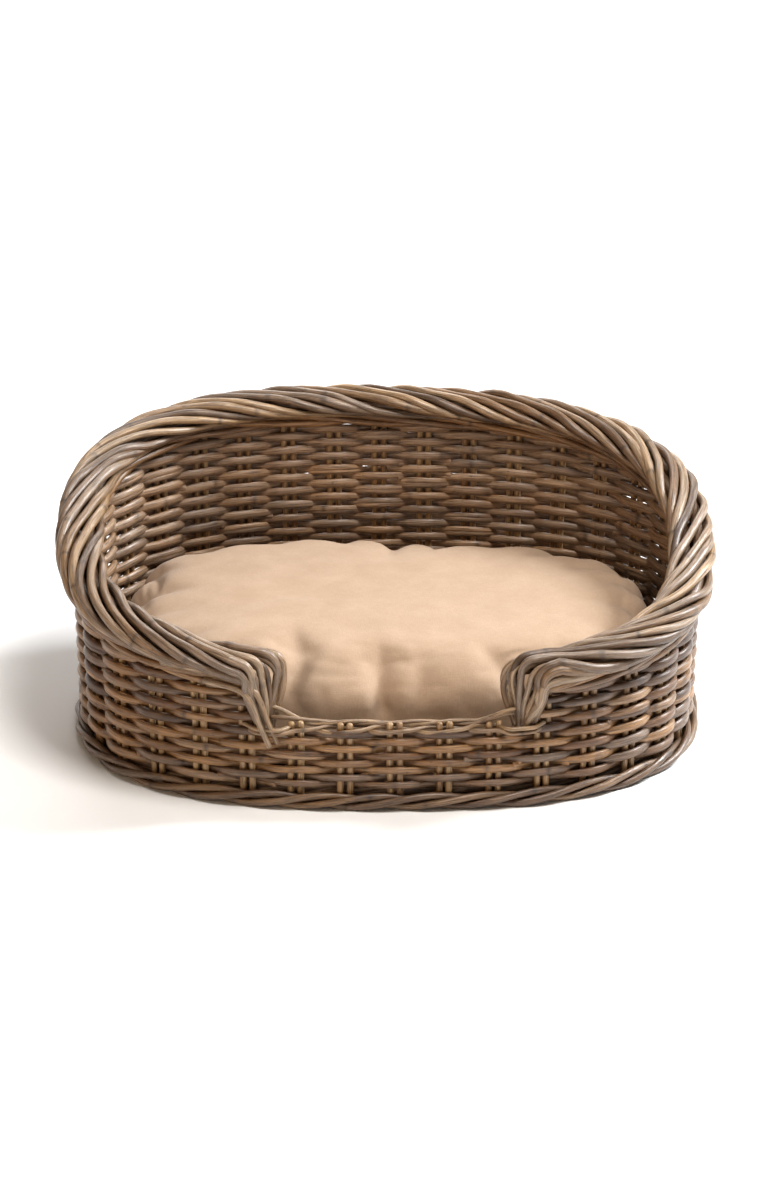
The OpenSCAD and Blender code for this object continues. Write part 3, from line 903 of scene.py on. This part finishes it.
def outer_sill_strand(d, i):
    """Offset and height of an outer strand: in and out of the stakes, then over the wraps' feet."""
    angle = np.pi * d / PITCH + np.pi * i
    over = smooth((np.abs(d) - SILL_OVER_WRAP) / SILL_EASE)
    tuck = 11 * smooth((np.abs(d) - SILL_TUCK) / SILL_EASE)
    offset = 6.6 * np.tanh(1.6 * np.cos(angle)) * (1 - over) + (14.2 + 1.2 * i) * over - tuck
    height = 0.8 + 2.0 * np.sin(angle) * (1 - over) + (5.4 * i - 1.2) * over
    return offset, SILL_TOP + height


def inner_sill_strand(d, i):
    """Offset and height of an inner strand, which rises into the wraps at both ends."""
    angle = np.pi * d / PITCH + np.pi * i + 0.8
    rise = smooth((np.abs(d) - OPENING_HALF + SILL_INNER_SHORT + SILL_RISE_RUN) / SILL_RISE_RUN)
    offset = -7.3 + 1.5 * np.cos(angle) + 4 * rise
    height = 5.8 + (8 + 9 * i) * rise + 2.1 * np.sin(angle)
    return offset, SILL_TOP + height


def sill(mats):
    outer_reach = OPENING_HALF + SILL_OUTER_REACH
    inner_reach = OPENING_HALF - SILL_INNER_SHORT
    for name, seed, reach, strand_at in (("sill_strand_outer", 241, outer_reach, outer_sill_strand),
                                         ("sill_strand_inner", 242, inner_reach, inner_sill_strand)):
        canes = Canes(seed)
        d = np.arange(-reach, reach, 2.0)
        for i in range(2):
            offset, height = strand_at(d, i)
            size = SILL_CANE_R * (1 + canes.wander(d, 90, 0.07))
            path = wall(OPENING_SHIFT + d, height + canes.wander(d, 80, 0.5), offset)
            canes.add(path, size, size, 0.45 + 0.3 * i, step=ROD_STATION)
        canes.build(name, mats["rim"], "wale_cane")


# A stub's bends: distance past the opening's edge, height above the stub's foot and offset from the wall
STUB_BENDS = [
    (-64, 74, 17.0), (-30, 71, 20.0), (-17, 65, 22.5),
    (-10, 50, 22.5), (-4, 26, 20.0), (5, 0, 16.5),
]
STUB_FOOT_Z = 78.0
# The shift along the wall, lift and half width of each stub
STUBS = [(0, 0, 4.1), (8, 3, 3.6)]


def stubs(mats):
    """Cut ends of two rods beside the left wrap."""
    canes = Canes(251)
    bends = np.array(STUB_BENDS)
    for shift, lift, r in STUBS:
        s = OPENING_SHIFT - OPENING_HALF + (bends[:, 0] + shift)
        path = round_path(wall(s, STUB_FOOT_Z + bends[:, 1] + lift, bends[:, 2] - 0.5 * shift), 4)
        thick = np.linspace(r, 0.8 * r, len(path))
        canes.add(path, thick, thick, canes.rng.uniform(0.5, 0.9), guide=(0, -1, 0), step=3)
    canes.build("wrap_stub", mats["rim"], "stake_cane")


# ---- base ----
BASE_HOOP_PLACE = (10.5, -18.4)
BASE_HOOP_SIZE = (5.2, 6.4)
BASE_STICK_R = 3.6
BASE_CANE_SIZE = (3.3, 2.2)
BASE_CANE_GAP = 6.8
BASE_CANE_ROOM = 6.5
BASE_SWING = 5.6
BASE_FLATNESS = 1.5


def half_across(v, a, b):
    """Half length of the oval's chord at distance v from its middle."""
    return a * (1 - min(abs(v) / b, 1) ** OVAL_POWER) ** (1 / OVAL_POWER)


def base_hoop(mats):
    canes = Canes(261)
    s = np.arange(0, ROUND_TRIP + 6, 6.0)
    canes.add(wall(s, *BASE_HOOP_PLACE), *BASE_HOOP_SIZE, 0.4, step=8)
    canes.build("base_hoop", mats["base"], "hoop_cane", ending="_cane")


def base_sticks(mats):
    canes = Canes(262)
    for i in range(-BASE_STICKS, BASE_STICKS + 1):
        x = i * BASE_STICK_PITCH
        reach = half_across(x, HALF_D - BASE_INSET, HALF_W - BASE_INSET)
        y = np.linspace(-reach, reach, 40)
        path = np.stack([x + canes.wander(y, 300, 1.2), y, BASE_Z + 0 * y], -1)
        canes.add(path, BASE_STICK_R, BASE_STICK_R, canes.rng.uniform(0.2, 0.9), step=9)
    canes.build("base_sticks", mats["stake"], "base_stick_cane")


def base_weave(mats):
    """Pairs of canes that run over one stick and under the next."""
    canes = Canes(263)
    for j in range(-BASE_CANES, BASE_CANES):
        y = (j + 0.5) * BASE_CANE_PITCH
        reach = half_across(abs(y) + BASE_CANE_ROOM, HALF_W - BASE_INSET, HALF_D - BASE_INSET)
        x = np.arange(-reach, reach, ROPE_STEP)
        swing = weave_offset(x / BASE_STICK_PITCH + j, BASE_SWING, BASE_FLATNESS)
        for side in (-1, 1):
            across = y + side * BASE_CANE_GAP / 2 + canes.wander(x, 120, 0.3)
            path = np.stack([x, across, BASE_Z + swing], -1)
            canes.add(path, *BASE_CANE_SIZE, canes.rng.beta(1.5, 1.5), step=7, sides=10)
    canes.build("base_weave", mats["base"], "base_cane")


# ---- cushion ----
CUSHION_HALF_W = HALF_W - CUSHION_INSET
CUSHION_HALF_D = HALF_D - CUSHION_INSET
# The starting shape is this much smaller than the finished cushion at the sides, the back and the crown
START_INSET = 5.0
START_BACK_INSET = 6.0
START_CROWN_INSET = 10.0
START_LIFT = 1.0
START_SIDES = 220
# Height share and inset in mm of the starting shape's rings, from the underside's edge up to the crown
CUSHION_RINGS = [
    (0.0, 70), (0.0, 46), (0.05, 24), (0.15, 11), (0.30, 4),
    (0.46, 1), (0.60, 0), (0.72, 2), (0.82, 8), (0.885, 17),
    (0.93, 31), (0.955, 52), (0.975, 85), (0.99, 125), (1.0, 175),
]
# Deep gathers that divide the edge into plump lobes, and small creases low down:
# spacing round the edge, width, depth, and the heights and inward reach between which they fade
GATHERS = {
    "gap": (66, 108),
    "width": 10.0,
    "depth": 12.0,
    "low": (76, 104),
    "high": (190, 200),
    "reach": (50, 95),
}
CREASES = {
    "gap": (17, 44),
    "width": 4.5,
    "depth": 3.6,
    "low": (60, 80),
    "high": (110, 136),
    "reach": (20, 30),
}
# Distance of the first gather from the middle of the front
FIRST_GATHER = -14.0
VOXEL = 0.005


def round_the_edge(co):
    """Each point's distance round the cushion's edge and inwards from it, and the whole way round."""
    turn = np.linspace(0, 2 * np.pi, 721)
    edge = oval(turn, CUSHION_HALF_W, CUSHION_HALF_D)
    edge[:, 1] = np.minimum(edge[:, 1], CUSHION_BACK)
    edge_s = lengths_along(edge)
    bearing = np.unwrap(np.arctan2(edge[:, 1], edge[:, 0]))
    own = np.mod(np.arctan2(co[:, 1], co[:, 0]), 2 * np.pi)
    radius = np.interp(own, bearing, np.linalg.norm(edge, axis=1))
    return np.interp(own, bearing, edge_s), radius - np.linalg.norm(co[:, :2], axis=1), edge_s[-1]


def gather_depth(co, rng, style):
    """How deep each point of the cover lies in a gather, in mm."""
    place, inset, way_round = round_the_edge(co)
    depth = np.zeros(len(co))
    first = way_round * 0.75 + FIRST_GATHER
    at = first
    while at < first + way_round - style["gap"][0] / 2:
        strength = 1.0 if at == first else rng.uniform(0.4, 1.0)
        slant = rng.uniform(-0.3, 0.3)
        low, high, reach = (rng.uniform(*style[key]) for key in ("low", "high", "reach"))
        side = place - at - slant * (co[:, 2] - CUSHION_TOP)
        side = (side + way_round / 2) % way_round - way_round / 2
        wide = style["width"] * (1 + 0.5 * smooth((co[:, 2] - 105) / 40))
        valley = np.exp(-((np.abs(side) / wide) ** 1.7))
        fade = smooth((co[:, 2] - low) / 26) * smooth((high - co[:, 2]) / 14) * smooth(1.4 - inset / reach)
        depth = np.maximum(depth, style["depth"] * strength * valley * fade)
        at += rng.uniform(*style["gap"])
    return depth


def cushion_start():
    """A closed pillow that follows the basket, a little smaller than the finished cushion."""
    low = CUSHION_BASE + START_LIFT
    height = CUSHION_TOP - CUSHION_BASE - START_CROWN_INSET
    angle = 2 * np.pi * np.arange(START_SIDES) / START_SIDES
    swell = 3.0 * np.sin(3 * angle + 0.7) + 2.0 * np.sin(5 * angle)
    rings = []
    for share, inset in CUSHION_RINGS:
        p = oval(angle, CUSHION_HALF_W - START_INSET - inset, CUSHION_HALF_D - START_INSET - inset)
        p[:, 1] = np.minimum(p[:, 1], CUSHION_BACK - START_BACK_INSET)
        z = low + share * height + share * swell
        rings.append(np.concatenate([p, z[:, None]], -1))
    k, i = np.meshgrid(np.arange(len(rings) - 1), np.arange(START_SIDES), indexing="ij")
    a, b = k * START_SIDES + i, k * START_SIDES + (i + 1) % START_SIDES
    faces = np.stack([a, b, b + START_SIDES, a + START_SIDES], -1).reshape(-1, 4).tolist()
    faces.append(list(range(START_SIDES - 1, -1, -1)))
    faces.append(list(range(START_SIDES * (len(rings) - 1), START_SIDES * len(rings))))
    mesh = bpy.data.meshes.new("cushion_start")
    mesh.from_pydata((np.concatenate(rings) * MM).tolist(), [], faces)
    return mesh


def remesh(piece, size):
    remesher = piece.modifiers.new("remesh", "REMESH")
    remesher.mode = "VOXEL"
    remesher.voxel_size = size
    apply_modifiers(piece)


def apply_modifiers(piece):
    depsgraph = bpy.context.evaluated_depsgraph_get()
    mesh = bpy.data.meshes.new_from_object(piece.evaluated_get(depsgraph))
    piece.modifiers.clear()
    piece.data = mesh


SIM_FRAMES = 20
SEAM_Z = 88.0
SEAM_WIDTH = 7.0
SEAM_DRAW = 0.3
GATHER_DRAW = 0.6
DRAW_LEVELS = 10
TRAVEL_CAP = 15.0
CLOTH = {
    "quality": 5,
    "use_pressure": True,
    "uniform_pressure_force": 4.0,
    "tension_stiffness": 15,
    "compression_stiffness": 15,
    "bending_stiffness": 0.8,
    "shrink_min": -0.05,
    "shrink_max": 0.16,
    "vertex_group_shrink": "drawn_in",
}


def simulate(piece, gathers):
    """Inflates the cover, which is a little larger than the pad and drawn in along its seam and gathers."""
    co = mesh_points(piece.data)
    seam = np.exp(-(((co[:, 2] / MM - SEAM_Z) / SEAM_WIDTH) ** 2))
    drawn = np.maximum(SEAM_DRAW * seam, GATHER_DRAW * gathers / GATHERS["depth"])
    group = piece.vertex_groups.new(name=CLOTH["vertex_group_shrink"])
    for level in range(1, DRAW_LEVELS + 1):
        chosen = np.nonzero(np.round(drawn * DRAW_LEVELS) == level)[0]
        group.add(chosen.tolist(), level / DRAW_LEVELS, "REPLACE")
    cloth = piece.modifiers.new("cloth", "CLOTH")
    for key, value in CLOTH.items():
        setattr(cloth.settings, key, value)
    cloth.settings.effector_weights.gravity = 0
    cloth.collision_settings.use_collision = False
    scene = bpy.context.scene
    for frame_number in range(1, SIM_FRAMES + 1):
        scene.frame_set(frame_number)
    depsgraph = bpy.context.evaluated_depsgraph_get()
    moved = mesh_points(piece.evaluated_get(depsgraph).data)
    piece.modifiers.clear()
    scene.frame_set(1)
    move = moved - co
    length = np.maximum(np.linalg.norm(move, axis=1, keepdims=True), 1e-9)
    cap = TRAVEL_CAP * MM
    move = move / length * cap * np.tanh(length / cap)
    return co + move


def mesh_points(mesh, what="co"):
    values = np.empty(len(mesh.vertices) * 3)
    mesh.vertices.foreach_get(what, values)
    return values.reshape(-1, 3)


def set_points(mesh, co):
    mesh.vertices.foreach_set("co", co.astype(np.float32).ravel())
    mesh.update()


# The crown's height is held back softly from this far below its top, over this much room
CROWN_SOFTENS = 5.0
CROWN_ROOM = 7.0
BACK_GAP = 0.3


def keep_inside(co):
    """Rests the cushion flat on the base and inside the space that the CAD gives it."""
    co[:, 2] = np.maximum(co[:, 2], CUSHION_BASE * MM)
    crown, room = (CUSHION_TOP - CROWN_SOFTENS) * MM, CROWN_ROOM * MM
    co[:, 2] = np.where(co[:, 2] > crown, crown + room * np.tanh((co[:, 2] - crown) / room), co[:, 2])
    co[:, 1] = np.minimum(co[:, 1], (CUSHION_BACK - BACK_GAP) * MM)
    return co


def cushion(mats):
    """The cotton cover with its pad: a pillow with gathers pressed in, then inflated as cloth."""
    piece = add_object("cushion_cover_cloth", cushion_start())
    remesh(piece, VOXEL)
    rng = np.random.default_rng(SEED + 5)
    co = mesh_points(piece.data)
    gathers = gather_depth(co / MM, rng, GATHERS)
    depth = np.maximum(gathers, gather_depth(co / MM, rng, CREASES))
    set_points(piece.data, co - mesh_points(piece.data, "normal") * depth[:, None] * MM)
    co = simulate(piece, gathers)
    co = keep_inside(co)
    co[:, 1] += SHIFT_Y * MM
    set_points(piece.data, co)
    softener = piece.modifiers.new("soften", "SMOOTH")
    softener.factor = 0.5
    softener.iterations = 6
    rounder = piece.modifiers.new("round", "SUBSURF")
    rounder.levels = rounder.render_levels = 1
    apply_modifiers(piece)
    piece.data.shade_smooth()
    piece.data.materials.clear()
    piece.data.materials.append(mats["cotton"])
    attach(piece, "cushion")
    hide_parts("cushion_cover", "cushion_pad")


# ---- zip ----
def zip_fastener(frame, mats):
    for node, material in (("zip_tape", "tape"), ("zip_teeth", "brass"), ("zip_slider", "brass"),
                           ("zip_pull", "brass")):
        cad = frame["nodes"][node]
        cad.data.materials.clear()
        cad.data.materials.append(mats[material])


# ---- studio ----
FLOOR_SIZE = 60
SENSOR = 36
CAMERA_AT = (0.0, -3.6196, 1.7487)
CAMERA_TILT = 65.86
LENS = 103.1
SHIFT = (0.0028, 0.0081)
# The studio is white round the horizon and dim overhead
SKY_LOW = (0.95, 0.93, 0.90, 1)
SKY_HIGH = (0.14, 0.132, 0.122, 1)
# How high on the sky those two colours lie
SKY_STOPS = [(0.10, SKY_LOW), (0.34, SKY_HIGH)]
# Far from the basket the floor glows, so that it runs into the white sky without a line
FAR_GLOW = 0.72
GLOW_FROM = 1.8
GLOW_FULL = 4.6
# Each light's place, target, size, power and colour
LIGHTS = {
    "key": ((2.6, 0.8, 2.3), (0, 0, 0.15), 1.0, 160, (0.93, 0.97, 1.0)),
    "top": ((0.6, -0.8, 2.7), (0, 0, 0.1), 0.9, 58, (1.0, 0.97, 0.93)),
    "fill": ((-2.4, -2.0, 1.4), (0, 0, 0.1), 1.2, 15, (1.0, 0.66, 0.36)),
    "back": ((-0.6, 2.4, 2.4), (0, 0, 0.2), 1.4, 24, (0.96, 0.98, 1.0)),
    "backdrop": ((0, 3.4, 1.7), (0, 3.5, 0), 2.5, 60, (1.0, 1.0, 1.0)),
}


def add_area(name, place, target, size, power, colour):
    light = bpy.data.lights.new(name, "AREA")
    light.size = size
    light.energy = power
    light.color = colour
    lamp = add_object(name, light)
    lamp.location = place
    lamp.rotation_euler = (Vector(target) - Vector(place)).to_track_quat("-Z", "Y").to_euler()


def add_floor():
    bpy.ops.mesh.primitive_plane_add(size=FLOOR_SIZE)
    floor = bpy.context.object
    floor.name = "floor"
    g = Graph(bpy.data.materials.new("floor_paint"))
    place = g.node("ShaderNodeTexCoord").outputs["Object"]
    g.wire("Base Color", g.mix(g.noise(place, 3.0), rgb(0.90, 0.90, 0.90), rgb(0.86, 0.86, 0.86)))
    away = g.node("ShaderNodeVectorMath", {0: place}, operation="LENGTH").outputs["Value"]
    g.wire("Emission Strength", g.span(away, GLOW_FROM, GLOW_FULL, 0.0, FAR_GLOW))
    g.put(Roughness=0.9, Emission_Color=SKY_LOW)
    floor.data.materials.append(g.owner)


def add_sky(scene):
    scene.world = bpy.data.worlds.new("studio")
    g = Graph(scene.world, "Background")
    direction = g.node("ShaderNodeTexCoord").outputs["Generated"]
    height = g.node("ShaderNodeSeparateXYZ", {0: direction}).outputs["Z"]
    g.wire("Color", g.ramp(height, SKY_STOPS))


def add_camera(scene):
    data = bpy.data.cameras.new("camera")
    data.lens = LENS
    data.sensor_width = SENSOR
    data.shift_x, data.shift_y = SHIFT
    camera = add_object("camera", data)
    camera.location = CAMERA_AT
    camera.rotation_euler = (math.radians(CAMERA_TILT), 0, 0)
    scene.camera = camera


def studio():
    scene = bpy.context.scene
    add_floor()
    add_sky(scene)
    for name, settings in LIGHTS.items():
        add_area(name, *settings)
    add_camera(scene)
    scene.view_settings.view_transform = "Standard"
    scene.view_settings.look = "Medium High Contrast"


def main():
    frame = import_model()
    mats = make_materials()
    stakes(mats)
    for row in range(ROWS):
        weave_row(row, mats["weave"])
    rim_and_wraps(mats)
    rim_cores(mats)
    rim_wales(mats)
    foot(mats)
    sill(mats)
    stubs(mats)
    base_hoop(mats)
    base_sticks(mats)
    base_weave(mats)
    cushion(mats)
    zip_fastener(frame, mats)
    studio()


main()
